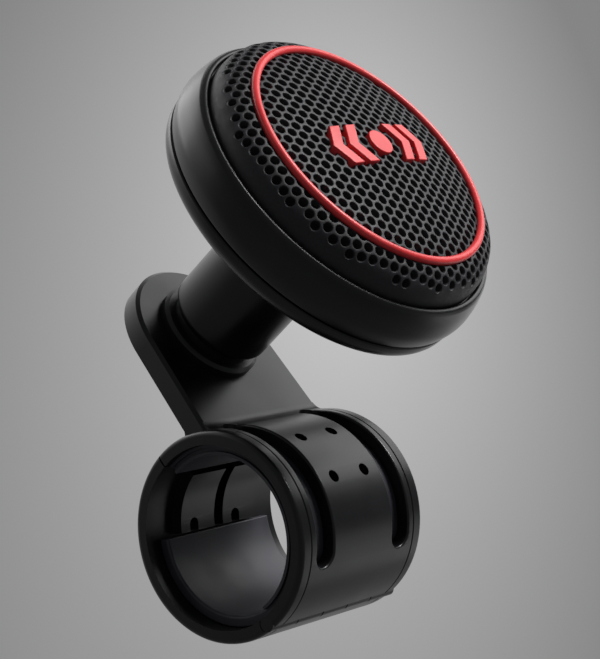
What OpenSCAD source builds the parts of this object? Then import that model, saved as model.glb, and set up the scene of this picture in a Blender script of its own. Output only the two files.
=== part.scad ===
// Spinner knob for a steering wheel: a padded ball-bearing head on a short neck,
// carried by an arm that grows out of a two-part rim clamp.
// Origin: middle of the clamped rim, +Y along the bore, +Z along the knob's own axis.

/* [Rim clamp] */
// Diameter of the wheel rim that the liners grip
rim_d = 28; // [26:0.5:30]
// Outside diameter of the clamp
clamp_d = 36.5; // [35.5:0.5:40]
// Length of the clamp along the rim
clamp_len = 34.8; // [32:0.2:40]
// Thickness of the rubber liners
liner_t = 1.85; // [1.4:0.05:2.2]
// Height of the parting plane above the bore axis
parting_z = -1; // [-1.5:0.1:-0.5]
// Gap between shell and jaw when closed
parting_gap = 0.3; // [0.2:0.05:0.5]
// Radius on the outer edges of the clamp
clamp_edge_r = 0.9; // [0.4:0.1:1.2]
// Width of the fine groove near each end of the clamp
trim_groove_w = 0.4; // [0.2:0.1:0.6]
// Distance of that groove from the end of the clamp
trim_groove_in = 2.7; // [2:0.1:3]

/* [Shell slots and peg holes] */
// Width of the two slots round the shell
slot_w = 4.6; // [3:0.1:5.5]
// Distance of the slots' middle from the clamp's middle
slot_y = 10.8; // [9:0.1:11.2]
// Angle of the slots' lower end, from +X
slot_low = 42.5; // [30:0.5:60]
// Angle of the slots' upper end, from +X
slot_high = 141; // [130:1:143]
// Diameter of the liner's peg holes
peg_hole_d = 2.3; // [1.6:0.1:2.6]
// Distance of the peg holes from the clamp's middle
peg_y = 4.3; // [3:0.1:5]
// Angle between the two rows of peg holes
peg_step = 29.3; // [20:0.1:34]
// Angle of the first row of peg holes, from +X
peg_first = 82.3; // [75:0.1:90]
// Depth of the pegs' ends below the clamp's outside
peg_recess = 1.5; // [0.6:0.1:1.8]

/* [Inside of the jaw] */
// Angle where the jaw's rubber stops, from +X
jaw_liner_end = -122.5; // [-130:0.5:-110]
// Angle where the bare wall's ribs begin, from +X
jaw_rib_start = -124; // [-135:1:-124]
// Angle where those ribs end, from +X
jaw_rib_end = -170; // [-174:1:-160]
// Width of a rib
jaw_rib_w = 9; // [6:0.5:10]
// Gap between the two ribs
jaw_rib_gap = 2.4; // [1.6:0.2:4]
// Width of the notch at a rib's lower end
rib_notch_w = 2.2; // [1.4:0.1:3]

/* [Arm] */
// Distance from the bore axis to the knob axis
arm_reach = 34.7; // [33:0.1:42]
// Height of the arm's top face above the bore axis
arm_z = 9.6; // [8.6:0.1:10.4]
// Thickness of the arm
arm_t = 4.2; // [3.5:0.1:5]
// Radius of the arm's round end
arm_end_r = 14.8; // [12:0.1:15.5]
// Width of the arm where it leaves the clamp
arm_root_w = 32; // [28:0.2:32]
// Radius of the hollow between arm and clamp, on top
arm_fillet_r = 3; // [1.5:0.5:4]
// Radius of the round boss under the neck
boss_r = 9.9; // [9:0.1:11]
// Height of that boss
boss_h = 1.9; // [1:0.1:3]
// Chamfer round the top of the arm's end and boss
arm_chamfer = 0.6; // [0.2:0.1:1]

/* [Neck and spindle] */
// Outside radius of the neck
neck_r = 9.45; // [8.5:0.05:10.5]
// Length of the neck
neck_len = 17.2; // [14:0.1:22]
// Radius on the neck's lower edge
neck_edge_r = 1.8; // [0.8:0.1:2.4]
// Thickness of the ring between boss and neck
base_ring_t = 1.5; // [1:0.1:2]
// Radius of that ring
base_ring_r = 8.1; // [7:0.1:8.6]
// Radius of the spindle bolt's head
spindle_head_r = 6.5; // [5.8:0.1:7]
// Height of the spindle bolt's head
spindle_head_h = 4.4; // [3.5:0.1:6]
// Height of the lock nut
nut_h = 5; // [4:0.1:5.5]
// Width of the lock nut across its corners
nut_corner_d = 15; // [14:0.1:16]
// Thickness of the plain washers
washer_t = 1.6; // [1:0.1:1.8]

/* [Bearings] */
// Bore of a bearing
bearing_bore = 8; // [7.8:0.1:8.2]
// Outside diameter of a bearing
bearing_od = 22; // [21.8:0.1:22.4]
// Width of a bearing
bearing_w = 7; // [6.6:0.1:7.4]
// Diameter of a ball
ball_d = 3.96; // [3.8:0.02:4.1]
// Number of balls in a bearing
ball_count = 7; // [6:1:8]
// Distance between the two bearings
bearing_gap = 2; // [1.5:0.1:3]

/* [Head] */
// Height of the lower cover's outer edge above the bearing seat
cover_edge_up = 8; // [7:0.1:9]
// Height of the lower cover's side
cover_side_h = 3.6; // [3:0.1:5]
// Radius of the head at the parting line
head_r = 30.4; // [29.5:0.1:32]
// Height of the body ring
ring_h = 8.3; // [8:0.1:9.5]
// How far the body ring swells beyond the parting line
ring_swell = 0.55; // [0.2:0.05:0.9]
// Wall of the covers
cover_wall = 2.2; // [1.6:0.1:2.6]
// Gap at the parting line and round the pad
head_gap = 0.3; // [0.2:0.05:0.4]
// Rise of the pad's side above the body ring
pad_rise = 6.1; // [5.5:0.1:7]
// Rise of the pad's crown above its shoulder
crown_h = 2.2; // [1:0.1:3]
// Radius of the red trim ring
trim_r = 23.4; // [21.5:0.1:23.8]
// Thickness of the red trim ring
trim_d = 1.45; // [1.2:0.05:2]
// Height of the raised motif above the pad
motif_h = 0.6; // [0.4:0.1:1]
// Length of the raised motif
motif_len = 25; // [20:0.5:28]
// Width of the raised motif
motif_w = 8; // [6:0.5:10]

/* [Screws] */
// Distance of the lower cover's screws inwards from the middle between hub and side
cover_screw_in = 1; // [0:0.1:1.5]
// Distance of the carrier's screws inwards from the middle between hub and side
carrier_screw_in = 2; // [1.5:0.1:2.5]
// Number of screws in each circle
screw_count = 4; // [3:1:4]
// Number of stiffening ribs inside the lower cover
rib_count = 8; // [6:2:8]
// Thickness of those ribs
rib_t = 1.2; // [0.8:0.1:1.6]
// Radius of a small screw
screw_r = 1.25; // [1:0.05:1.4]
// Distance from the bore axis to the clamp screw
clamp_screw_x = 20.9; // [20.8:0.1:21.5]
// Radius of the clamp screw
clamp_screw_r = 1.5; // [1.25:0.05:1.6]
// Radius of the ears that the clamp screw joins
ear_r = 3.7; // [3.5:0.1:4]
// Thickness of the jaw's ear
jaw_ear_t = 3.75; // [3:0.05:4.5]
// Radius of the hinge pin
pin_r = 0.65; // [0.5:0.05:0.75]
// Radius of a hinge knuckle
knuckle_r = 1.35; // [1.25:0.05:1.4]
// Number of hinge knuckles
knuckle_count = 5; // [3:2:7]

/* [Hidden] */
$fn = 96;

fit_gap = 0.05;                 // between pieces of one body that slide together
slot_ease = 0.04;               // round ends of the slots, wider than the slots
turn_gap = 0.4;                 // between the neck and the turning head
pin_play = 0.05;                // hinge pin in the jaw's knuckles
cove_gap = 0.15;                // round a knuckle
clamp_r = clamp_d / 2;
rim_r = rim_d / 2;
wall_r = rim_r + liner_t + fit_gap;      // inner wall of shell and jaw
half_len = clamp_len / 2;
shell_edge_z = parting_z + parting_gap / 2;
jaw_edge_z = parting_z - parting_gap / 2;
arm_low = arm_z - arm_t;
boss_top = arm_z + boss_h;
ring_top = boss_top + base_ring_t;
neck_top = ring_top + neck_len;
hub_low = neck_top + turn_gap;
hub_lip = 1.6;
seat_z = hub_low + hub_lip;              // lower bearing rests here
upper_z = seat_z + bearing_w + bearing_gap;
stack_top = upper_z + bearing_w;
nut_z = stack_top + washer_t;
spindle_top = nut_z + nut_h + 0.8;
bearing_r = bearing_od / 2;
pitch_r = (bearing_bore + bearing_od) / 4;
spindle_play = 0.03;                     // spindle bolt in the bearings
spindle_r = bearing_bore / 2 - spindle_play;
race_t = 2;                              // radial thickness of the inner race
outer_race_t = 1.8;
hub_wall = 2.6;
hub_r = bearing_r + hub_wall;
clip_t = 1;
hub_top = stack_top + clip_t + 0.9;
cover_low = seat_z + cover_edge_up;
part_z = cover_low + cover_side_h;
seam_z = part_z + ring_h;
deck_top = seam_z - 1.75;
deck_t = 1.7;
seam_r = head_r - 2;                     // side of the pad
shoulder_z = seam_z + pad_rise;
crown_z = shoulder_z + crown_h;
shoulder_r = trim_r - trim_d / 2 - 0.2;
crown_r = (shoulder_r * shoulder_r + crown_h * crown_h) / (2 * crown_h);
carrier_t = 2.7;
carrier_r = seam_r - 1.75;
pocket_r = nut_corner_d / 2 + 2;
pocket_top = spindle_top + 0.6;
hinge_proud = 0.2;                       // a knuckle beyond the clamp's outside
hinge_x = clamp_r + hinge_proud - knuckle_r;
knuckle_len = clamp_len / knuckle_count;
knuckle_gap = 0.3;
pin_blind = 1.6;                         // closed end of the pin's hole, at the front
pin_end_gap = 0.3;
screw_reach = 2.7;                       // clamp screw's tip above the parting plane
screw_tip = parting_z + screw_reach;
clamp_head_r = 2.75;
clamp_head_h = 3;
clamp_washer_r = 3.1;
clamp_washer_t = 0.5;
insert_wall = 0.85;                      // brass round the clamp screw
thread_gap = 0.2;                        // tapped side of the clamp screw's thread
counterbore_depth = 2.6;
washer_top = arm_low + counterbore_depth;
bolt_washer_r = 8.5;
spindle_cut = neck_top;                  // length of the spindle's bore in the arm
cover_screw_pcr = (hub_r + head_r) / 2 - cover_screw_in;
carrier_screw_pcr = (hub_r + head_r) / 2 - carrier_screw_in;
small_head_r = 2.4;
small_head_h = 1.7;
pillar_r = 3.1;                          // round a screw of the lower cover
race_play = 0.24;                        // between a ball and its tracks
cage_half_t = 0.8;
cage_low = 0.9;                          // cage below and above its balls
cage_high = 1.5;
nut_washer_w = 4;
nut_collar_in = 1.4;                     // round collar of the lock nut, inside its corners
nut_hex_h = nut_h - 1.2;
clip_reach = 0.5;                        // retaining ring into its groove
clip_w = 2;
clip_mouth = 3;
motif_seat = 1.6;                        // motif's foot below the crown
tap_gap = 0.02;                          // tapped side of a small screw's thread
pass_gap = 0.1;                          // small screw in a plain hole
cover_corner_w = 2.8;                    // rounding of the lower cover's edge
lip_r = 0.9;                             // rolled lip of the body ring
pad_edge_r = pad_rise - 0.17;            // rounding of the pad's side

body_col = [0.13, 0.13, 0.14];
rubber_col = [0.09, 0.09, 0.10];
steel_col = [0.68, 0.69, 0.71];
red_col = [0.80, 0.10, 0.12];

// Points of an arc, from one angle to another
function arc(cx, cy, r, from, to, steps = 6) =
    [for (i = [0:steps]) let (a = from + (to - from) * i / steps) [cx + r * cos(a), cy + r * sin(a)]];

// Turns a piece drawn round Z so that its axis lies along the bore; angles run from +X to +Z
module round_bore() rotate([90, 0, 0]) children();

// Puts a piece on the knob's axis
module on_knob() translate([-arm_reach, 0, 0]) children();

// Copies a piece at equal steps round the knob's axis
module circle_of(count, radius, first = 0)
    for (i = [0:count - 1]) rotate([0, 0, first + 360 * i / count]) translate([radius, 0, 0]) children();

module tube(outer, inner, h) difference() {
    cylinder(r = outer, h = h);
    translate([0, 0, -1]) cylinder(r = inner, h = h + 2);
}

// Section of the clamp's wall: rounded outer corners and a fine groove near each end
module clamp_section() {
    e = clamp_edge_r;
    g = trim_groove_w / 2;
    gy = half_len - trim_groove_in;
    polygon(concat(
        [[wall_r, -half_len]],
        arc(clamp_r - e, -half_len + e, e, -90, 0, 4),
        [[clamp_r, -gy - g], [clamp_r - 2 * g, -gy], [clamp_r, -gy + g]],
        [[clamp_r, gy - g], [clamp_r - 2 * g, gy], [clamp_r, gy + g]],
        arc(clamp_r - e, half_len - e, e, 0, 90, 4),
        [[wall_r, half_len]]));
}

module clamp_tube() round_bore() rotate_extrude($fn = 160) clamp_section();

// Everything above or below a height, across the whole clamp
module above(z) translate([-200, -100, z]) cube([400, 200, 100]);
module below(z) translate([-200, -100, z - 100]) cube([400, 200, 100]);

// One slot round the shell, with round ends
module shell_slot(y) {
    translate([0, y, 0]) round_bore() {
        rotate([0, 0, slot_low]) rotate_extrude(angle = slot_high - slot_low, $fn = 160)
            translate([wall_r - 1, -slot_w / 2]) square([clamp_r - wall_r + 3.5, slot_w]);
        for (a = [slot_low, slot_high])
            rotate([0, 90, a]) translate([0, 0, wall_r - 1])
                cylinder(d = slot_w + slot_ease, h = clamp_r - wall_r + 3.5, $fn = 48);
    }
}

// The liner's four pegs, or the holes for them
module pegs(r, from, to)
    for (y = [-peg_y, peg_y], a = [peg_first, peg_first + peg_step])
        translate([0, y, 0]) round_bore() rotate([0, 90, a])
            translate([0, 0, from]) cylinder(r = r, h = to - from, $fn = 40);

// Hinge knuckles along the clamp; odd ones belong to the jaw
module knuckles(first, r, grow = 0)
    for (i = [first:2:knuckle_count - 1]) {
        low = -half_len + i * knuckle_len + (i == 0 ? 0 : knuckle_gap / 2) - grow;
        high = -half_len + (i + 1) * knuckle_len - (i == knuckle_count - 1 ? 0 : knuckle_gap / 2) + grow;
        translate([hinge_x, high, parting_z]) rotate([90, 0, 0]) cylinder(r = r, h = high - low, $fn = 48);
    }

// The pin's hole, closed at the front end
module pin_hole(r) translate([hinge_x, half_len + 1, parting_z]) rotate([90, 0, 0])
    cylinder(r = r, h = clamp_len + 1 - pin_blind, $fn = 48);

// Plan of the arm: straight sides that run tangent into the round end
module arm_plan(inset = 0) {
    r = arm_end_r - inset;
    w = arm_root_w / 2 - inset;
    run = arm_reach - wall_r;
    lean = atan((w - r) / run);
    translate([-arm_reach, 0]) circle(r = r, $fn = 160);
    polygon([[-arm_reach - r * sin(lean), r * cos(lean)], [-wall_r + 3, w], [-wall_r + 3, -w],
        [-arm_reach - r * sin(lean), -r * cos(lean)]]);
}

// Chamfer along one straight side of the arm
module arm_side_chamfer() {
    c = arm_chamfer;
    lean = atan((arm_root_w / 2 - arm_end_r) / (arm_reach - wall_r));
    from = [-arm_reach - arm_end_r * sin(lean), arm_end_r * cos(lean)];
    to = [3 - wall_r, arm_root_w / 2];
    translate([from[0], from[1], arm_z - c]) rotate([0, 0, atan2(to[1] - from[1], to[0] - from[0])])
        rotate([90, 0, 90]) linear_extrude(norm(to - from))
            polygon([[0, 0], [-c, c], [-c - 0.3, c], [-c - 0.3, -0.3], [-0.3, -0.3]]);
}

// The arm, its top edge chamfered all round
module arm_plate() {
    translate([0, 0, arm_low]) linear_extrude(arm_t - arm_chamfer) arm_plan();
    translate([0, 0, arm_z - arm_chamfer]) linear_extrude(arm_chamfer) arm_plan(arm_chamfer);
    for (side = [0, 1]) mirror([0, side, 0]) arm_side_chamfer();
    on_knob() translate([0, 0, arm_z - arm_chamfer])
        cylinder(r1 = arm_end_r, r2 = arm_end_r - arm_chamfer, h = arm_chamfer, $fn = 160);
}

// Web that blends the arm into the clamp: hollow on top, a smaller hollow below
module arm_root() {
    f = arm_fillet_r;
    cz = arm_z + f;
    cx = -sqrt(pow(clamp_r + f, 2) - cz * cz);
    on = atan2(cz, cx);
    low = -sqrt(clamp_r * clamp_r - arm_low * arm_low);
    translate([0, arm_root_w / 2 - arm_chamfer, 0]) rotate([90, 0, 0])
        linear_extrude(arm_root_w - 2 * arm_chamfer) polygon(concat(
            arc(cx, cz, f, -90, on - 180, 8),
            [[-wall_r + 2, arm_z + 1], [-wall_r + 2, arm_low], [low, arm_low - 0.8],
            [low - 1.6, arm_low + 0.1], [cx, arm_low + 0.1]]));
}

module ear(z, h) translate([-clamp_screw_x, 0, z]) {
    cylinder(r = ear_r, h = h);
    translate([0, -ear_r, 0]) cube([clamp_screw_x - wall_r - 0.4, 2 * ear_r, h]);
}

module clamp_shell() color(body_col) difference() {
    union() {
        intersection() {
            clamp_tube();
            above(shell_edge_z);
        }
        difference() {
            union() {
                arm_plate();
                arm_root();
                ear(shell_edge_z, arm_low - shell_edge_z + 0.5);
            }
            round_bore() cylinder(r = wall_r, h = 2 * clamp_len, center = true, $fn = 160);
        }
        on_knob() translate([0, 0, arm_z - 0.5]) {
            cylinder(r = boss_r, h = boss_h + 0.5 - arm_chamfer, $fn = 120);
            translate([0, 0, boss_h + 0.5 - arm_chamfer])
                cylinder(r1 = boss_r, r2 = boss_r - arm_chamfer, h = arm_chamfer, $fn = 120);
        }
        knuckles(0, knuckle_r);
    }
    knuckles(1, knuckle_r + cove_gap, knuckle_gap);
    pin_hole(pin_r);
    shell_slot(-slot_y);
    shell_slot(slot_y);
    pegs(peg_hole_d / 2, wall_r - 1, clamp_r + 2);
    on_knob() {
        cylinder(r = bearing_bore / 2 + fit_gap, h = spindle_cut);
        translate([0, 0, washer_top - spindle_cut])
            cylinder(r = bolt_washer_r + 2 * fit_gap, h = spindle_cut);
    }
    translate([-clamp_screw_x, 0, shell_edge_z - 1]) {
        cylinder(r = clamp_screw_r + insert_wall + fit_gap, h = 1 + screw_tip - shell_edge_z + 0.15);
        cylinder(r = clamp_screw_r + 0.4, h = 1 + screw_tip - shell_edge_z + 1.2);
    }
}

// Upper liner: two ridges with a groove between them at each end, four pegs through the shell
module shell_liner() color(rubber_col) {
    end = half_len - 1.4;
    lip = 0.55;
    outer = rim_r + liner_t;
    difference() {
        union() {
            intersection() {
                round_bore() rotate_extrude($fn = 160) polygon([
                    [rim_r, -end], [rim_r + lip, -end], [rim_r + lip, -end + lip],
                    [outer - lip, -end + lip], [outer - lip, -end], [outer, -end], [outer, end],
                    [outer - lip, end],
                    [outer - lip, end - lip], [rim_r + lip, end - lip], [rim_r + lip, end], [rim_r, end]]);
                above(shell_edge_z);
            }
            pegs(peg_hole_d / 2 - 0.1, rim_r + liner_t / 2, clamp_r - peg_recess);
        }
        pin_clearance();
    }
}

// Room for the knuckles behind the liners
module pin_clearance() translate([hinge_x, half_len + 1, parting_z]) rotate([90, 0, 0])
    cylinder(r = knuckle_r + 2 * cove_gap, h = clamp_len + 2, $fn = 48);

module jaw_liner() color(rubber_col) {
    end = half_len - 3.4;
    outer = rim_r + liner_t;
    e = 0.5;
    difference() {
        intersection() {
            round_bore() rotate([0, 0, jaw_liner_end])
                rotate_extrude(angle = -jaw_liner_end + 20, $fn = 160) polygon(concat(
                    arc(rim_r + e, -end + e, e, 180, 270, 3),
                    [[outer, -end], [outer, end]],
                    arc(rim_r + e, end - e, e, 90, 180, 3)));
            below(jaw_edge_z);
        }
        pin_clearance();
    }
}

// Ribs on the jaw's bare wall, each with a small notch at its lower end
module jaw_ribs() for (s = [-1, 1]) difference() {
    translate([0, s * (jaw_rib_gap + jaw_rib_w) / 2, 0]) round_bore() rotate([0, 0, jaw_rib_end])
        rotate_extrude(angle = jaw_rib_start - jaw_rib_end, $fn = 160)
            translate([rim_r, -jaw_rib_w / 2]) square([liner_t + 0.6, jaw_rib_w]);
    translate([0, s * (jaw_rib_gap + jaw_rib_w) / 2 - 1, 0]) round_bore()
        rotate([0, 0, jaw_rib_start - 5]) {
            rotate_extrude(angle = 6, $fn = 160)
                translate([rim_r - 1, -rib_notch_w / 2]) square([liner_t + 1.2, rib_notch_w]);
            rotate([0, 90, 0]) translate([0, 0, rim_r - 1])
                cylinder(d = rib_notch_w + slot_ease, h = liner_t + 1.15, $fn = 40);
        }
}

module clamp_jaw() color(body_col) difference() {
    union() {
        intersection() {
            clamp_tube();
            below(jaw_edge_z);
        }
        jaw_ribs();
        difference() {
            ear(jaw_edge_z - jaw_ear_t, jaw_ear_t);
            round_bore() cylinder(r = wall_r, h = 2 * clamp_len, center = true, $fn = 160);
        }
        knuckles(1, knuckle_r);
    }
    knuckles(0, knuckle_r + cove_gap, knuckle_gap);
    pin_hole(pin_r + pin_play);
    translate([-clamp_screw_x, 0, jaw_edge_z - jaw_ear_t - 1])
        cylinder(r = clamp_screw_r + fit_gap, h = jaw_ear_t + 2);
}

module hinge_pin() color(steel_col)
    translate([hinge_x, half_len - pin_end_gap, parting_z]) rotate([90, 0, 0])
        cylinder(r = pin_r, h = clamp_len - pin_blind - 2 * pin_end_gap, $fn = 48);

// Socket cap screw that stays in the jaw's ear
module clamp_screw() color(steel_col) {
    under = jaw_edge_z - jaw_ear_t - clamp_washer_t;
    translate([-clamp_screw_x, 0, under - clamp_head_h]) difference() {
        union() {
            cylinder(r = clamp_head_r, h = clamp_head_h);
            cylinder(r = clamp_screw_r, h = clamp_head_h + screw_tip - under);
        }
        translate([0, 0, -1]) cylinder(r = clamp_screw_r - 0.06, h = 2.6, $fn = 6);
    }
}

module clamp_washer() color(steel_col)
    translate([-clamp_screw_x, 0, jaw_edge_z - jaw_ear_t - clamp_washer_t])
        tube(clamp_washer_r, clamp_screw_r + fit_gap, clamp_washer_t);

// Brass insert in the shell's ear that the clamp screw enters
module threaded_insert() color([0.75, 0.6, 0.3]) translate([-clamp_screw_x, 0, shell_edge_z])
    tube(clamp_screw_r + insert_wall, clamp_screw_r + thread_gap, screw_tip - shell_edge_z + 0.1);

module spindle_bolt() color(steel_col) on_knob() difference() {
    union() {
        translate([0, 0, washer_top - washer_t - spindle_head_h])
            cylinder(r = spindle_head_r, h = spindle_head_h);
        translate([0, 0, washer_top - washer_t - 0.5])
            cylinder(r = spindle_r, h = spindle_top - washer_top + washer_t + 0.5);
    }
    translate([0, 0, washer_top - washer_t - spindle_head_h - 1]) cylinder(r = 3, h = 3.6, $fn = 6);
}

module bolt_washer() color(steel_col) on_knob() translate([0, 0, washer_top - washer_t])
    tube(bolt_washer_r, spindle_r + fit_gap, washer_t);

module base_ring() color(rubber_col) on_knob() translate([0, 0, boss_top])
    tube(base_ring_r, spindle_r + fit_gap, base_ring_t);

// Neck with a rounded foot and a step that carries the lower inner race
module neck_sleeve() color(body_col) on_knob() rotate_extrude($fn = 120) {
    bore = spindle_r + fit_gap;
    polygon(concat(
        [[bore, ring_top]],
        arc(neck_r - neck_edge_r, ring_top + neck_edge_r, neck_edge_r, -90, 0, 6),
        [[neck_r, neck_top - 0.4], [neck_r - 0.4, neck_top],
        [bearing_bore / 2 + race_t, neck_top], [bearing_bore / 2 + race_t, seat_z], [bore, seat_z]]));
}

// Bearing pieces, drawn from the bearing's lower face
module inner_race(z) color(steel_col) on_knob() translate([0, 0, z]) rotate_extrude($fn = 96) difference() {
    translate([bearing_bore / 2, 0]) square([race_t, bearing_w]);
    translate([pitch_r, bearing_w / 2]) circle(d = ball_d + race_play, $fn = 48);
}

module outer_race(z) color(steel_col) on_knob() translate([0, 0, z]) rotate_extrude($fn = 96) difference() {
    translate([bearing_r - outer_race_t, 0]) square([outer_race_t, bearing_w]);
    translate([pitch_r, bearing_w / 2]) circle(d = ball_d + race_play, $fn = 48);
}

module balls(z) color(steel_col) on_knob() translate([0, 0, z + bearing_w / 2])
    circle_of(ball_count, pitch_r) sphere(d = ball_d, $fn = 32);

module cage(z) color([0.3, 0.3, 0.32]) on_knob() translate([0, 0, z + bearing_w / 2]) difference() {
    translate([0, 0, -ball_d / 2 - cage_low])
        tube(pitch_r + cage_half_t, pitch_r - cage_half_t, ball_d / 2 + cage_low + cage_high);
    circle_of(ball_count, pitch_r) sphere(d = ball_d + race_play, $fn = 32);
    circle_of(ball_count, pitch_r) cylinder(d = ball_d - 0.6, h = bearing_w, $fn = 32);
}

module lower_inner_race() inner_race(seat_z);
module lower_outer_race() outer_race(seat_z);
module lower_balls() balls(seat_z);
module lower_cage() cage(seat_z);
module upper_inner_race() inner_race(upper_z);
module upper_outer_race() outer_race(upper_z);
module upper_balls() balls(upper_z);
module upper_cage() cage(upper_z);

module race_spacer() color(steel_col) on_knob() translate([0, 0, seat_z + bearing_w])
    tube(bearing_bore / 2 + race_t - 0.2, spindle_r + fit_gap, bearing_gap);

module housing_spacer() color(steel_col) on_knob() translate([0, 0, seat_z + bearing_w])
    tube(bearing_r - fit_gap, bearing_r - outer_race_t + 0.2, bearing_gap);

// Snap ring above the upper bearing, open on one side
module retaining_ring() color([0.25, 0.25, 0.27]) on_knob() translate([0, 0, stack_top]) difference() {
    tube(bearing_r + clip_reach, bearing_r + clip_reach - clip_w, clip_t);
    translate([0, -clip_mouth / 2, -1]) cube([bearing_r + clip_w, clip_mouth, clip_t + 2]);
}

module nut_washer() color(steel_col) on_knob() translate([0, 0, stack_top])
    tube(spindle_r + nut_washer_w, spindle_r + fit_gap, washer_t);

module lock_nut() color(steel_col) on_knob() translate([0, 0, nut_z]) difference() {
    union() {
        cylinder(d = nut_corner_d, h = nut_hex_h, $fn = 6);
        cylinder(r = nut_corner_d / 2 - nut_collar_in, h = nut_h);
    }
    translate([0, 0, -1]) cylinder(r = spindle_r + fit_gap, h = nut_h + 2);
}

// Lower cover: dished floor, turned-up rim with a tongue, and the hub that houses the bearings
module lower_cover() color(body_col) on_knob() {
    tongue_r = head_r - cover_wall - 0.25;
    top = part_z - head_gap / 2;
    floor_in = hub_low + 6.2;
    pillar_top = deck_top - deck_t - fit_gap;
    head_seat = cover_low + 1;
    side_r = head_r - 0.1;
    corner_h = cover_side_h - 0.6;
    difference() {
        union() {
            rotate_extrude($fn = 160) polygon(concat([
                [hub_r - 7, hub_low], [hub_r - 0.8, hub_low], [hub_r, hub_low + 0.8], [hub_r, floor_in - 1],
                [hub_r + 1, floor_in]],
                [for (i = [0:12]) let (a = -76 + 76 * i / 12)
                    [side_r - cover_corner_w * (1 - cos(a)), cover_low - 0.25 + corner_h * (1 + sin(a))]],
                [[side_r, top - 0.25], [side_r - 0.25, top], [tongue_r, top], [tongue_r, top + 1.5],
                [tongue_r - 1.3, top + 1.5], [tongue_r - 1.3, top - 0.8],
                [head_r - 4.2, cover_low + cover_wall], [hub_r + 1, floor_in + cover_wall],
                [hub_r, floor_in + cover_wall + 1], [hub_r, hub_top], [hub_r - 7, hub_top]]));
            circle_of(screw_count, cover_screw_pcr, 45)
                translate([0, 0, cover_low]) cylinder(r = pillar_r, h = pillar_top - cover_low, $fn = 48);
            circle_of(rib_count, 0, 180 / rib_count) translate([0, rib_t / 2, 0]) rotate([90, 0, 0])
                linear_extrude(rib_t) polygon([
                    [hub_r - 0.5, floor_in + cover_wall / 2], [tongue_r - 2, cover_low + cover_wall / 2],
                    [tongue_r - 2, top - 0.6], [hub_r - 0.5, top - 0.6]]);
        }
        translate([0, 0, seat_z]) cylinder(r = bearing_r, h = 40, $fn = 120);
        translate([0, 0, stack_top])
            cylinder(r = bearing_r + clip_reach + fit_gap, h = clip_t + fit_gap, $fn = 120);
        translate([0, 0, hub_low - 1]) cylinder(r = bearing_bore / 2 + race_t + 0.6, h = 10);
        circle_of(screw_count, cover_screw_pcr, 45) {
            translate([0, 0, cover_low - 5]) cylinder(r = screw_r + pass_gap, h = 40, $fn = 40);
            translate([0, 0, head_seat - 10]) cylinder(r = small_head_r + 2 * pass_gap, h = 10, $fn = 48);
        }
    }
}

// A small pan screw: head below, shank up
module small_screw(seat, length) translate([0, 0, seat]) difference() {
    union() {
        translate([0, 0, -small_head_h]) cylinder(r = small_head_r, h = small_head_h, $fn = 48);
        translate([0, 0, -0.2]) cylinder(r = screw_r, h = length + 0.2, $fn = 40);
    }
    translate([0, 0, -small_head_h - 1]) cylinder(r = screw_r - 0.15, h = 1.9, $fn = 6);
}

module cover_screws() color(steel_col) on_knob() circle_of(screw_count, cover_screw_pcr, 45)
    small_screw(cover_low + 1, deck_top - 0.3 - cover_low - 1);

module carrier_screws() color(steel_col) on_knob() circle_of(screw_count, carrier_screw_pcr)
    small_screw(deck_top - deck_t, deck_t + carrier_t - 0.7);

// Body ring of the head: swelling side, rolled lip at the pad and a deck inside
module body_ring() color(body_col) on_knob() difference() {
    low = part_z + head_gap / 2;
    side_h = seam_z - 1.1 - low - 0.3;
    rotate_extrude($fn = 160) polygon(concat(
        [[head_r - cover_wall, low], [head_r - 0.3, low]],
        [for (i = [0:12]) let (t = i / 12)
            [head_r + ring_swell * (4.7 * t - 5.51 * t * t), low + 0.3 + side_h * t]],
        arc(head_r - 0.45 - lip_r, seam_z + 0.1 - lip_r, lip_r, -8, 115, 8),
        [[seam_r + head_gap / 2, seam_z - 0.5],
        [seam_r + head_gap / 2, deck_top], [hub_r + 0.6, deck_top], [hub_r + 0.6, deck_top - deck_t],
        [head_r - cover_wall - 0.8, deck_top - deck_t], [head_r - cover_wall, deck_top - deck_t - 0.8]]));
    circle_of(screw_count, cover_screw_pcr, 45)
        translate([0, 0, deck_top - deck_t - 1]) cylinder(r = screw_r + tap_gap, h = deck_t + 2, $fn = 40);
    circle_of(screw_count, carrier_screw_pcr)
        translate([0, 0, deck_top - deck_t - 1]) cylinder(r = screw_r + pass_gap, h = deck_t + 2, $fn = 40);
}

// Stiff disc under the pad
module pad_carrier() color([0.2, 0.2, 0.21]) on_knob() difference() {
    translate([0, 0, deck_top]) rotate_extrude($fn = 160) polygon([
        [pocket_r, 0], [carrier_r, 0], [carrier_r, carrier_t - 0.6], [carrier_r - 0.6, carrier_t],
        [pocket_r, carrier_t]]);
    circle_of(screw_count, carrier_screw_pcr)
        translate([0, 0, deck_top - 1]) cylinder(r = screw_r + tap_gap, h = carrier_t + 0.5, $fn = 40);
}

// Soft crowned pad, with a seat for the trim ring and for the motif
module grip_pad() color([0.17, 0.17, 0.18]) on_knob() difference() {
    inner = carrier_r + 0.1;
    top = deck_top + carrier_t + 0.1;
    rotate_extrude($fn = 160) polygon(concat(
        [[0, pocket_top], [pocket_r, pocket_top], [pocket_r, top], [inner, top], [inner, deck_top + 0.1],
        [seam_r, deck_top + 0.1]],
        arc(seam_r - pad_edge_r, seam_z + 0.28, pad_edge_r, 8, 70, 12),
        [[trim_r + trim_d / 2, shoulder_z]],
        [for (i = [0:8]) let (r = shoulder_r * (1 - i / 8))
            [r, crown_z - crown_r + sqrt(crown_r * crown_r - r * r)]]));
    translate([0, 0, shoulder_z]) rotate_extrude($fn = 160) translate([trim_r, 0])
        circle(d = trim_d + 2 * fit_gap, $fn = 32);
    motif_block(fit_gap, 5);
}

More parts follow.
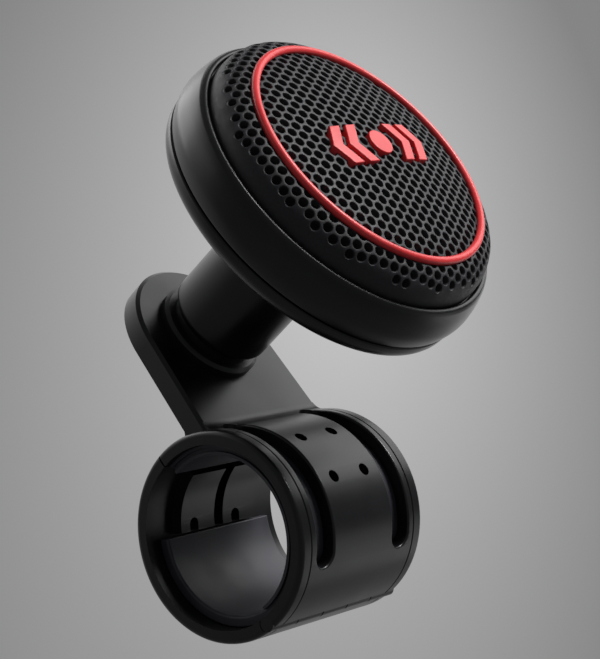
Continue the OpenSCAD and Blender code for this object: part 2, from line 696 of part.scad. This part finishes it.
module trim_ring() color(red_col) on_knob() translate([0, 0, shoulder_z]) rotate_extrude($fn = 160)
    translate([trim_r, 0]) circle(d = trim_d, $fn = 32);

// One arrow-like bar of the motif, pointing along +Y
module chevron(y, grow) {
    w = motif_w / 2 + grow;
    t = motif_len / 10;
    polygon([[-w, y - grow], [0, y + t * 0.9 - grow], [w, y - grow], [w, y + t + grow],
        [0, y + t * 1.9 + grow], [-w, y + t + grow]]);
}

// Two chevrons pointing away on each side of a round dot
module motif_plan(grow = 0) {
    circle(r = motif_len / 10 + grow, $fn = 48);
    for (s = [0, 180]) rotate(s) {
        chevron(motif_len * 0.15, grow);
        chevron(motif_len * 0.31, grow);
    }
}

module motif_block(grow, up) translate([0, 0, crown_z - motif_seat]) linear_extrude(up) motif_plan(grow);

module pad_motif() color(red_col) on_knob() intersection() {
    motif_block(0, 4);
    translate([0, 0, crown_z + motif_h - crown_r]) sphere(r = crown_r, $fn = 200);
}

clamp_shell();
shell_liner();
clamp_jaw();
jaw_liner();
hinge_pin();
clamp_screw();
clamp_washer();
threaded_insert();
spindle_bolt();
bolt_washer();
base_ring();
neck_sleeve();
lower_inner_race();
lower_outer_race();
lower_balls();
lower_cage();
race_spacer();
housing_spacer();
upper_inner_race();
upper_outer_race();
upper_balls();
upper_cage();
retaining_ring();
nut_washer();
lock_nut();
lower_cover();
cover_screws();
body_ring();
pad_carrier();
carrier_screws();
grip_pad();
trim_ring();
pad_motif();
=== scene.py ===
# Steering wheel spinner knob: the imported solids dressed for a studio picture
import math
import bpy
import bmesh
from mathutils import Matrix, Vector


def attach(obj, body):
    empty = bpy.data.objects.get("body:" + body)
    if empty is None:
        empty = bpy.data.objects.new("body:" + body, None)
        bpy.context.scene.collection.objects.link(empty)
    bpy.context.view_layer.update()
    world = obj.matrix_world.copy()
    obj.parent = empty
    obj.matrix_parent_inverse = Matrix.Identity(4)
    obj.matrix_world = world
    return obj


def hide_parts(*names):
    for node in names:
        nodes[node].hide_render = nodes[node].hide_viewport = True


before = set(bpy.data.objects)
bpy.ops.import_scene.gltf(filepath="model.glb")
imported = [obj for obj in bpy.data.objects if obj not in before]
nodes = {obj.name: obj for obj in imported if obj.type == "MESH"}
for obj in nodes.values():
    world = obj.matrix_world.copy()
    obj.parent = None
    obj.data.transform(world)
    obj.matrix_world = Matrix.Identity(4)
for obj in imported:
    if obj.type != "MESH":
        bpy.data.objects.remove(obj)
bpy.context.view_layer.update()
mm = 0.001
knobX = -34.7 * mm  # the knob's own axis

scene = bpy.context.scene
scene.view_settings.view_transform = "Standard"

# camera, lens and place
shot = {
    "place": (0.10320, -0.29861, 0.22320),
    "right": (0.53597, 0.60983, 0.58382),
    "up": (-0.77667, 0.08508, 0.62414),
    "back": (0.33094, -0.78795, 0.51924),
    "lens": 120.24,
    "sensor": 36.0,
}


def addCamera():
    data = bpy.data.cameras.new("camera")
    data.sensor_fit = "VERTICAL"
    data.sensor_height = shot["sensor"]
    data.lens = shot["lens"]
    data.clip_start = 0.01
    data.clip_end = 50
    cam = bpy.data.objects.new("camera", data)
    turn = Matrix((shot["right"], shot["up"], shot["back"])).transposed().to_4x4()
    cam.matrix_world = Matrix.Translation(shot["place"]) @ turn
    scene.collection.objects.link(cam)
    scene.camera = cam


addCamera()


# small helpers for materials
def newMaterial(name, colour, roughness, metallic=0.0):
    mat = bpy.data.materials.new(name)
    mat.use_nodes = True
    shader = mat.node_tree.nodes["Principled BSDF"]
    shader.inputs["Base Color"].default_value = (*colour, 1)
    shader.inputs["Roughness"].default_value = roughness
    shader.inputs["Metallic"].default_value = metallic
    return mat, mat.node_tree, shader


def addNode(tree, kind, place=(0, 0), **values):
    node = tree.nodes.new(kind)
    node.location = place
    for key, value in values.items():
        if key in node.inputs:
            node.inputs[key].default_value = value
        else:
            setattr(node, key, value)
    return node


def noiseField(tree, size, detail=3.0, stretch=None):
    # noise whose grain is about size metres across
    coords = addNode(tree, "ShaderNodeTexCoord", (-1200, 0))
    source = coords.outputs["Object"]
    if stretch:
        mapping = addNode(tree, "ShaderNodeMapping", (-1000, 0))
        mapping.inputs["Scale"].default_value = stretch
        tree.links.new(source, mapping.inputs["Vector"])
        source = mapping.outputs["Vector"]
    noise = addNode(tree, "ShaderNodeTexNoise", (-800, 0), Scale=1 / size, Detail=detail, Roughness=0.55)
    tree.links.new(source, noise.inputs["Vector"])
    return noise.outputs["Fac"]


def between(tree, field, low, high, fromLow=0.35, fromHigh=0.65):
    ranged = addNode(tree, "ShaderNodeMapRange", (-500, 0))
    ranged.inputs["From Min"].default_value = fromLow
    ranged.inputs["From Max"].default_value = fromHigh
    ranged.inputs["To Min"].default_value = low
    ranged.inputs["To Max"].default_value = high
    tree.links.new(field, ranged.inputs["Value"])
    return ranged.outputs["Result"]


def blendColours(tree, field, first, second):
    mix = addNode(tree, "ShaderNodeMix", (-300, 200), data_type="RGBA")
    colourIn = [s for s in mix.inputs if s.type == "RGBA"]
    colourIn[0].default_value = (*first, 1)
    colourIn[1].default_value = (*second, 1)
    tree.links.new(field, mix.inputs["Factor"])
    return [s for s in mix.outputs if s.type == "RGBA"][0]


def addBump(tree, shader, field, height):
    bump = addNode(tree, "ShaderNodeBump", (-200, -300), Strength=1.0, Distance=height)
    tree.links.new(field, bump.inputs["Height"])
    tree.links.new(bump.outputs["Normal"], shader.inputs["Normal"])


# finishes of the knob; gloss is the specular level, 0.5 where none is given
finish = {
    "satinBlack": {"dark": (0.0045, 0.0045, 0.0055), "light": (0.0085, 0.0085, 0.0100), "rough": (0.29, 0.34),
                   "grain": 0.30 * mm, "grainHeight": 0.004 * mm, "cloud": 9 * mm},
    "linerRubber": {"dark": (0.024, 0.024, 0.034), "light": (0.038, 0.038, 0.052), "rough": (0.52, 0.62),
                    "grain": 0.5 * mm, "grainHeight": 0.008 * mm, "cloud": 6 * mm, "gloss": 0.65},
    "net": {"dark": (0.014, 0.014, 0.017), "light": (0.027, 0.027, 0.032), "rough": (0.52, 0.66),
            "grain": 0.16 * mm, "grainHeight": 0.016 * mm, "cloud": 0.5 * mm},
    # the hole wells take a colour far darker than the net strands
    "holeWell": {"dark": (0.0015, 0.0015, 0.0020), "light": (0.006, 0.006, 0.007), "rough": (0.85, 0.98),
             "grain": 0.12 * mm, "grainHeight": 0.05 * mm, "cloud": 0.25 * mm},
    "red": {"dark": (0.90, 0.044, 0.050), "light": (1.0, 0.066, 0.070), "rough": (0.30, 0.38),
            "grain": 0.3 * mm, "grainHeight": 0.004 * mm, "cloud": 5 * mm},
    "nylon": {"dark": (0.03, 0.03, 0.033), "light": (0.045, 0.045, 0.05), "rough": (0.5, 0.6),
              "grain": 0.30 * mm, "grainHeight": 0.004 * mm, "cloud": 9 * mm},
}


def mouldedFinish(name, recipe):
    mat, tree, shader = newMaterial(name, recipe["dark"], recipe["rough"][0])
    cloud = noiseField(tree, recipe["cloud"], 4.0)
    colour = blendColours(tree, between(tree, cloud, 0, 1), recipe["dark"], recipe["light"])
    tree.links.new(colour, shader.inputs["Base Color"])
    grain = noiseField(tree, recipe["grain"], 2.0)
    rough = between(tree, cloud, *recipe["rough"])
    tree.links.new(rough, shader.inputs["Roughness"])
    addBump(tree, shader, grain, recipe["grainHeight"])
    shader.inputs["Specular IOR Level"].default_value = recipe.get("gloss", 0.5)
    return mat


# metals: brushed streaks in the roughness, duller patches in the colour
wear = {"smoother": 0.08, "rougher": 0.12, "dull": 0.8, "patch": 4 * mm, "streakHeight": 0.004 * mm}


def metalFinish(name, colour, rough, brushed=(1, 1, 1), size=0.6 * mm):
    mat, tree, shader = newMaterial(name, colour, rough, metallic=1.0)
    streaks = noiseField(tree, size, 4.0, brushed)
    tree.links.new(between(tree, streaks, rough - wear["smoother"], rough + wear["rougher"]),
                   shader.inputs["Roughness"])
    worn = tuple(c * wear["dull"] for c in colour)
    patches = between(tree, noiseField(tree, wear["patch"]), 0, 1)
    tree.links.new(blendColours(tree, patches, worn, colour), shader.inputs["Base Color"])
    addBump(tree, shader, streaks, wear["streakHeight"])
    return mat


satinBlack = mouldedFinish("satinBlack", finish["satinBlack"])
linerRubber = mouldedFinish("linerRubber", finish["linerRubber"])
netSkin = mouldedFinish("netSkin", finish["net"])
redPlastic = mouldedFinish("redPlastic", finish["red"])
holeWellDark = mouldedFinish("holeWellDark", finish["holeWell"])
zincSteel = metalFinish("zincSteel", (0.55, 0.56, 0.58), 0.34, (1, 1, 6))
bearingSteel = metalFinish("bearingSteel", (0.62, 0.63, 0.64), 0.2, (1, 1, 20), 0.4 * mm)
brass = metalFinish("brass", (0.68, 0.50, 0.20), 0.36)
nylon = mouldedFinish("nylon", finish["nylon"])
print("materials made")


def finishPiece(name, bm, materials, body, stands, smooth=35):
    mesh = bpy.data.meshes.new(name)
    bm.to_mesh(mesh)
    bm.free()
    for mat in materials:
        mesh.materials.append(mat)
    mesh.shade_smooth()
    mesh.set_sharp_from_angle(angle=math.radians(smooth))
    piece = bpy.data.objects.new(name, mesh)
    scene.collection.objects.link(piece)
    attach(piece, body)
    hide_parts(*stands)
    return piece


def addModifier(piece, kind, **values):
    mod = piece.modifiers.new(kind.lower(), kind)
    for key, value in values.items():
        setattr(mod, key, value)


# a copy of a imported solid, its loose triangles merged, its edges rounded
merge = {"weld": 0.002 * mm, "sliver": 0.004 * mm, "flat": 0.6}  # flat in degrees
edgeRound = {
    "pad_motif": 0.28 * mm, "lower_cover": 0.3 * mm, "neck_sleeve": 0.2 * mm, "clamp_shell": 0.28 * mm,
    "clamp_jaw": 0.25 * mm, "shell_liner": 0.2 * mm, "jaw_liner": 0.3 * mm,
    "segments": 3, "softSegments": 4, "angle": 34,
}


def dressedCopy(name, node, mat, body, softEdge=None, soft=0.0):
    bm = bmesh.new()
    bm.from_mesh(nodes[node].data)
    bmesh.ops.remove_doubles(bm, verts=bm.verts, dist=merge["weld"])
    bmesh.ops.dissolve_degenerate(bm, edges=bm.edges, dist=merge["sliver"])
    bmesh.ops.dissolve_limit(bm, angle_limit=math.radians(merge["flat"]), verts=bm.verts, edges=bm.edges,
                             use_dissolve_boundaries=False, delimit=set())
    if softEdge:
        chosen = [e for e in bm.edges if softEdge(e)]
        bmesh.ops.bevel(bm, geom=chosen, offset=soft, segments=edgeRound["softSegments"], profile=0.5,
                        affect="EDGES", material=-1, offset_type="OFFSET", clamp_overlap=False)
    for face in bm.faces:
        face.material_index = 0
    piece = finishPiece(name, bm, [mat], body, [node], edgeRound["angle"])
    addModifier(piece, "BEVEL", width=edgeRound[node], segments=edgeRound["segments"], limit_method="ANGLE",
                angle_limit=math.radians(edgeRound["angle"]), use_clamp_overlap=True, harden_normals=True)
    addModifier(piece, "WEIGHTED_NORMAL", keep_sharp=True)


# a closed outline of (radius, height, rounding) in millimetres, spun round the knob's axis
spun = {"steps": 160, "segments": 5}


def spunPiece(name, outline, mat, body, stands):
    bm = bmesh.new()
    corners = [bm.verts.new((knobX + r * mm, 0, z * mm)) for r, z, _ in outline]
    bm.faces.new(corners)
    for corner, (r, z, rounding) in zip(corners, outline):
        if rounding:
            bmesh.ops.bevel(bm, geom=[corner], offset=rounding * mm, segments=spun["segments"], profile=0.5,
                            affect="VERTICES", material=-1, offset_type="OFFSET", clamp_overlap=True)
    bmesh.ops.delete(bm, geom=bm.faces[:], context="FACES_ONLY")
    bmesh.ops.spin(bm, geom=bm.verts[:] + bm.edges[:], cent=(knobX, 0, 0), axis=(0, 0, 1), dvec=(0, 0, 0),
                   angle=2 * math.pi, steps=spun["steps"], use_merge=True)
    bmesh.ops.remove_doubles(bm, verts=bm.verts, dist=merge["weld"])
    bmesh.ops.recalc_face_normals(bm, faces=bm.faces)
    finishPiece(name, bm, [mat], body, stands)


# soft pad: one net of round holes laid over a crowned cushion
pad = {
    "pitch": 2.1175,  # hole to hole
    "turn": 2.375,  # lattice against +X, degrees
    "shift": (1.25, 0.20),
    "perforated": 28.6,  # along the surface from the middle
    "reach": 33.2,
    "crownTop": 60.35,
    "crownRadius": 113.6,
    "crownPoints": 60,
    "shoulder": (22.6, 53.0, 5.8, 4.95),  # middle r, z and half sizes of the rolled edge
    "shoulderFrom": 13,  # degrees off the vertical, where crown and rolled edge meet
    "shoulderSteps": 30,
    "skirtLow": 50.6,
    "inside": 26.8,
    "underside": 53.3,
    "underHole": 9.0,
    "rim": (0.12, 0.0),  # steps from strand to hole: thickness, depth
    "slope": (0.12, -0.12),
    "well": (0.05, -0.95),
    "ringAt": 23.4,
    "tuck": 0.30,
    "tuckHalf": 1.0,
    "spare": 1.2,  # the net is cut this far past its reach
    "welds": (0.02, 0.03),  # before and after it is laid over the cushion
    "smooth": 60,
}


def padProfile():
    # points from the middle outwards: arc length, radius, height
    points = []
    midR, midZ, halfR, halfZ = pad["shoulder"]
    start = math.radians(pad["shoulderFrom"])
    joinR = midR + halfR * math.sin(start)
    last, steps = pad["crownPoints"] - 1, pad["shoulderSteps"]
    for i in range(last + 1):
        r = joinR * i / last
        points.append((r, pad["crownTop"] - r * r / (2 * pad["crownRadius"])))
    for i in range(1, steps + 1):
        a = start + (math.pi / 2 - start) * i / steps
        points.append((midR + halfR * math.sin(a), midZ + halfZ * math.cos(a)))
    points.append((midR + halfR, pad["skirtLow"]))
    table = [(0.0, *points[0])]
    for (r0, z0), (r1, z1) in zip(points, points[1:]):
        table.append((table[-1][0] + math.hypot(r1 - r0, z1 - z0), r1, z1))
    return table


def onProfile(table, s):
    s = min(s, table[-1][0])
    for (s0, r0, z0), (s1, r1, z1) in zip(table, table[1:]):
        if s <= s1:
            k = (s - s0) / (s1 - s0)
            run = math.hypot(r1 - r0, z1 - z0)
            return r0 + (r1 - r0) * k, z0 + (z1 - z0) * k, (z0 - z1) / run, (r1 - r0) / run
    return r1, z1, 1.0, 0.0


def buildPad():
    bm = bmesh.new()
    pitch, reach = pad["pitch"], pad["reach"]
    turn = Matrix.Rotation(math.radians(pad["turn"]), 4, "Z")
    rows = int(reach / (pitch * math.sqrt(0.75))) + 2
    for j in range(-rows, rows + 1):
        for i in range(-rows, rows + 1):
            spot = turn @ Vector(((i + 0.5 * (j % 2)) * pitch, j * pitch * math.sqrt(0.75), 0))
            spot += Vector((*pad["shift"], 0))
            if spot.length < reach + pad["spare"]:
                bmesh.ops.create_circle(bm, cap_ends=True, radius=pitch / math.sqrt(3), segments=6,
                                        matrix=Matrix.Translation(spot) @ turn)
    bmesh.ops.remove_doubles(bm, verts=bm.verts, dist=pad["welds"][0])
    bmesh.ops.recalc_face_normals(bm, faces=bm.faces)
    if bm.faces[0].normal.z < 0:
        bmesh.ops.reverse_faces(bm, faces=bm.faces)
    cells = [f for f in bm.faces if f.calc_center_median().length < pad["perforated"]]
    for thickness, depth in (pad["rim"], pad["slope"], pad["well"]):
        bmesh.ops.inset_individual(bm, faces=cells, thickness=thickness, depth=depth, use_even_offset=True)
    # the hole wells get the far darker second material
    for face in cells:
        face.material_index = 1
    # lay the flat net over the cushion
    table = padProfile()
    for vert in bm.verts:
        s = math.hypot(vert.co.x, vert.co.y)
        r, z, outR, outZ = onProfile(table, s)
        lift = vert.co.z - pad["tuck"] * math.exp(-((s - pad["ringAt"]) / pad["tuckHalf"]) ** 2)
        k = (r + lift * outR) / s if s > 1e-6 else 0
        vert.co = Vector((vert.co.x * k, vert.co.y * k, z + lift * outZ))
    bmesh.ops.remove_doubles(bm, verts=bm.verts, dist=pad["welds"][1])
    # close it: in under the skirt, up along the carrier and across
    rim = [e for e in bm.edges if e.is_boundary]
    upInside = pad["underside"] - pad["skirtLow"]
    for scaleTo, rise in ((pad["inside"], 0), (pad["inside"], upInside), (pad["underHole"], 0)):
        made = bmesh.ops.extrude_edge_only(bm, edges=rim)["geom"]
        verts = [g for g in made if isinstance(g, bmesh.types.BMVert)]
        rim = [g for g in made if isinstance(g, bmesh.types.BMEdge) and g.is_boundary]
        for vert in verts:
            k = scaleTo / math.hypot(vert.co.x, vert.co.y)
            vert.co = Vector((vert.co.x * k, vert.co.y * k, vert.co.z + rise))
    bmesh.ops.holes_fill(bm, edges=rim, sides=0)
    bmesh.ops.scale(bm, vec=(mm, mm, mm), verts=bm.verts)
    bmesh.ops.translate(bm, vec=(knobX, 0, 0), verts=bm.verts)
    bmesh.ops.recalc_face_normals(bm, faces=bm.faces)
    piece = finishPiece("padSkin", bm, [netSkin, holeWellDark], "knob", ["grip_pad"], pad["smooth"])
    addModifier(piece, "SUBSURF", levels=1, render_levels=1)


buildPad()
print("pad made")

# red bead round the pad
bead = {"radius": 23.4, "height": 58.0, "thick": 1.45, "sides": 20, "steps": 180}


def buildBead():
    bm = bmesh.new()
    bmesh.ops.create_circle(bm, cap_ends=False, radius=bead["thick"] / 2 * mm, segments=bead["sides"])
    bmesh.ops.rotate(bm, verts=bm.verts, matrix=Matrix.Rotation(math.pi / 2, 3, "X"))
    bmesh.ops.translate(bm, verts=bm.verts, vec=(knobX + bead["radius"] * mm, 0, bead["height"] * mm))
    bmesh.ops.spin(bm, geom=bm.verts[:] + bm.edges[:], cent=(knobX, 0, 0), axis=(0, 0, 1), dvec=(0, 0, 0),
                   angle=2 * math.pi, steps=bead["steps"], use_merge=True)
    bmesh.ops.remove_doubles(bm, verts=bm.verts, dist=merge["weld"])
    bmesh.ops.recalc_face_normals(bm, faces=bm.faces)
    finishPiece("trimBead", bm, [redPlastic], "knob", ["trim_ring"])


buildBead()
dressedCopy("chevronMotif", "pad_motif", redPlastic, "knob")
print("trim made")

# head: rolled ring, dished cover and neck
ringOutline = [
    (28.2, 44.0, 0), (30.3, 44.0, 0.12), (30.78, 45.2, 1.5), (30.95, 46.9, 2.0), (30.80, 48.6, 2.0),
    (30.35, 50.6, 1.5), (29.95, 51.6, 0.7), (29.35, 52.35, 0.45), (28.75, 52.2, 0.25), (28.6, 51.7, 0.2),
    (28.6, 50.3, 0), (14.2, 50.3, 0), (14.2, 48.65, 0), (28.2, 48.65, 0),
]
spunPiece("headRing", ringOutline, satinBlack, "knob", ["body_ring"])
dressedCopy("headCover", "lower_cover", satinBlack, "knob")
dressedCopy("neckSleeve", "neck_sleeve", satinBlack, "clamp")
print("head made")

# rim clamp
slots = {"outside": 18.25 * mm, "middle": 10.8 * mm, "half": 2.4 * mm, "above": 5 * mm, "near": 0.06 * mm,
         "sharp": 40, "round": 0.42 * mm}  # sharp in degrees


def onSlotRim(edge):
    if len(edge.link_faces) != 2 or edge.calc_face_angle(0) < math.radians(slots["sharp"]):
        return False
    return all(abs(math.hypot(v.co.x, v.co.z) - slots["outside"]) < slots["near"] and v.co.z > slots["above"]
               and abs(abs(v.co.y) - slots["middle"]) < slots["half"] for v in edge.verts)


dressedCopy("clampShell", "clamp_shell", satinBlack, "clamp", softEdge=onSlotRim, soft=slots["round"])
dressedCopy("clampJaw", "clamp_jaw", satinBlack, "jaw")
dressedCopy("shellLiner", "shell_liner", linerRubber, "clamp")
dressedCopy("jawLiner", "jaw_liner", linerRubber, "jaw")
print("clamp made")

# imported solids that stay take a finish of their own
kept = {
    zincSteel: ["clamp_screw", "clamp_washer", "hinge_pin", "spindle_bolt", "bolt_washer", "race_spacer",
                "housing_spacer", "retaining_ring", "nut_washer", "lock_nut", "cover_screws", "carrier_screws"],
    bearingSteel: ["lower_inner_race", "lower_outer_race", "lower_balls", "upper_inner_race",
                   "upper_outer_race", "upper_balls"],
    brass: ["threaded_insert"],
    nylon: ["lower_cage", "upper_cage", "pad_carrier"],
    satinBlack: ["base_ring"],
}
for mat, names in kept.items():
    for name in names:
        for slot in nodes[name].material_slots:
            slot.material = mat
print("kept solids finished")

# floor with a painted pool of light in its colour, and the lamps
studio = {
    "floorZ": -0.10,
    "floorRadius": 4,
    "pool": (-0.1343, 0.2393),
    "poolTurn": 37.4,
    "poolSize": (0.1091, 0.2676),
    "screen": 2.2,  # from tones as they show on a screen to light
    "middle": 0.822,
    "fall": 0.25,
    "edge": 1.15,  # past this the floor keeps one tone
    "paper": 0.5,  # how much of the painted pool tone the paper throws back
    "glow": 0.85,  # share of the painted pool tone that the camera sees as glow, without shadow
    "towards": (-0.8, 0.6, 0),  # the floor's painted reflection, seen by glossy rays only, grows bright this way
    "shade": (-0.05, 0.25),
    "dim": 0.14,
    "bright": 0.86,
    "world": 0.12,
    "horizon": 0.225,
    "air": (0.96, 0.98, 1),
}


def buildStudio():
    bm = bmesh.new()
    bmesh.ops.create_circle(bm, cap_ends=True, radius=studio["floorRadius"], segments=96)
    mesh = bpy.data.meshes.new("floor")
    bm.to_mesh(mesh)
    bm.free()
    floor = bpy.data.objects.new("floor", mesh)
    floor.location = (0, 0, studio["floorZ"])
    scene.collection.objects.link(floor)
    mat, tree, shader = newMaterial("floorPaper", (0.5, 0.5, 0.5), 0.9)
    coords = addNode(tree, "ShaderNodeTexCoord")
    mapping = addNode(tree, "ShaderNodeMapping", vector_type="TEXTURE")
    mapping.inputs["Location"].default_value = (*studio["pool"], 0)
    mapping.inputs["Rotation"].default_value = (0, 0, math.radians(studio["poolTurn"]))
    mapping.inputs["Scale"].default_value = (*studio["poolSize"], 1)
    tree.links.new(coords.outputs["Object"], mapping.inputs["Vector"])
    length = addNode(tree, "ShaderNodeVectorMath", operation="LENGTH")
    tree.links.new(mapping.outputs["Vector"], length.inputs[0])
    # the pool of light is painted: the floor's colour and its glow fall off from the pool's middle
    middle, fall, edge = studio["middle"], studio["fall"], studio["edge"]
    shown = between(tree, length.outputs["Value"], middle, middle - edge * fall, 0, edge)
    tone = addNode(tree, "ShaderNodeMath", operation="POWER")
    tone.inputs[1].default_value = studio["screen"]
    tree.links.new(shown, tone.inputs[0])
    paper = addNode(tree, "ShaderNodeMath", operation="MULTIPLY")
    paper.inputs[1].default_value = studio["paper"]
    tree.links.new(tone.outputs[0], paper.inputs[0])
    tree.links.new(paper.outputs[0], shader.inputs["Base Color"])
    # painted reflection: what glossy rays see of the floor glows, brighter towards the back left
    along = addNode(tree, "ShaderNodeVectorMath", operation="DOT_PRODUCT")
    along.inputs[1].default_value = studio["towards"]
    tree.links.new(coords.outputs["Object"], along.inputs[0])
    sheen = between(tree, along.outputs["Value"], studio["dim"], studio["bright"], *studio["shade"])
    path = addNode(tree, "ShaderNodeLightPath")
    glow = addNode(tree, "ShaderNodeMix", data_type="FLOAT")
    tree.links.new(path.outputs["Is Glossy Ray"], glow.inputs[0])
    tree.links.new(tone.outputs[0], glow.inputs[2])
    tree.links.new(sheen, glow.inputs[3])
    light = addNode(tree, "ShaderNodeEmission")
    tree.links.new(glow.outputs[0], light.inputs["Color"])
    share = addNode(tree, "ShaderNodeMath", operation="MULTIPLY")
    share.inputs[1].default_value = studio["glow"]
    tree.links.new(path.outputs["Is Camera Ray"], share.inputs[0])
    seen = addNode(tree, "ShaderNodeMath", operation="MAXIMUM")
    tree.links.new(share.outputs[0], seen.inputs[0])
    tree.links.new(path.outputs["Is Glossy Ray"], seen.inputs[1])
    mix = addNode(tree, "ShaderNodeMixShader")
    tree.links.new(seen.outputs[0], mix.inputs["Fac"])
    tree.links.new(shader.outputs["BSDF"], mix.inputs[1])
    tree.links.new(light.outputs["Emission"], mix.inputs[2])
    tree.links.new(mix.outputs[0], tree.nodes["Material Output"].inputs["Surface"])
    floor.data.materials.append(mat)
    world = bpy.data.worlds.new("room")
    world.use_nodes = True
    tree = world.node_tree
    back = tree.nodes["Background"]
    back.inputs["Color"].default_value = (*studio["air"], 1)
    path = addNode(tree, "ShaderNodeLightPath")
    strength = between(tree, path.outputs["Is Camera Ray"], studio["world"], studio["horizon"], 0, 1)
    tree.links.new(strength, back.inputs["Strength"])
    scene.world = world


lamps = {
    "key": {"place": (-0.22, 0.32, 0.66), "aim": (-0.02, 0, 0.03), "size": (0.26, 0.26), "power": 4.6},
    "back": {"place": (-0.215, 0.56, 0.30), "aim": (-0.02, 0, 0.02), "size": (0.42, 0.42), "power": 0.85},
    "side": {"place": (0.42, 0.56, 0.09), "aim": (0, 0, 0.01), "size": (0.22, 0.36), "power": 0.14},
    "left": {"place": (-0.30, 0.0, -0.055), "aim": (-0.05, -0.02, 0.05), "size": (0.22, 0.16), "power": 0.19},
}


def addLamps():
    for name, lamp in lamps.items():
        data = bpy.data.lights.new(name, "AREA")
        data.shape = "RECTANGLE"
        data.size, data.size_y = lamp["size"]
        data.energy = lamp["power"]
        obj = bpy.data.objects.new(name, data)
        place, aim = Vector(lamp["place"]), Vector(lamp["aim"])
        obj.location = place
        obj.rotation_euler = (aim - place).to_track_quat("-Z", "Y").to_euler()
        scene.collection.objects.link(obj)


buildStudio()
addLamps()
print("studio made")
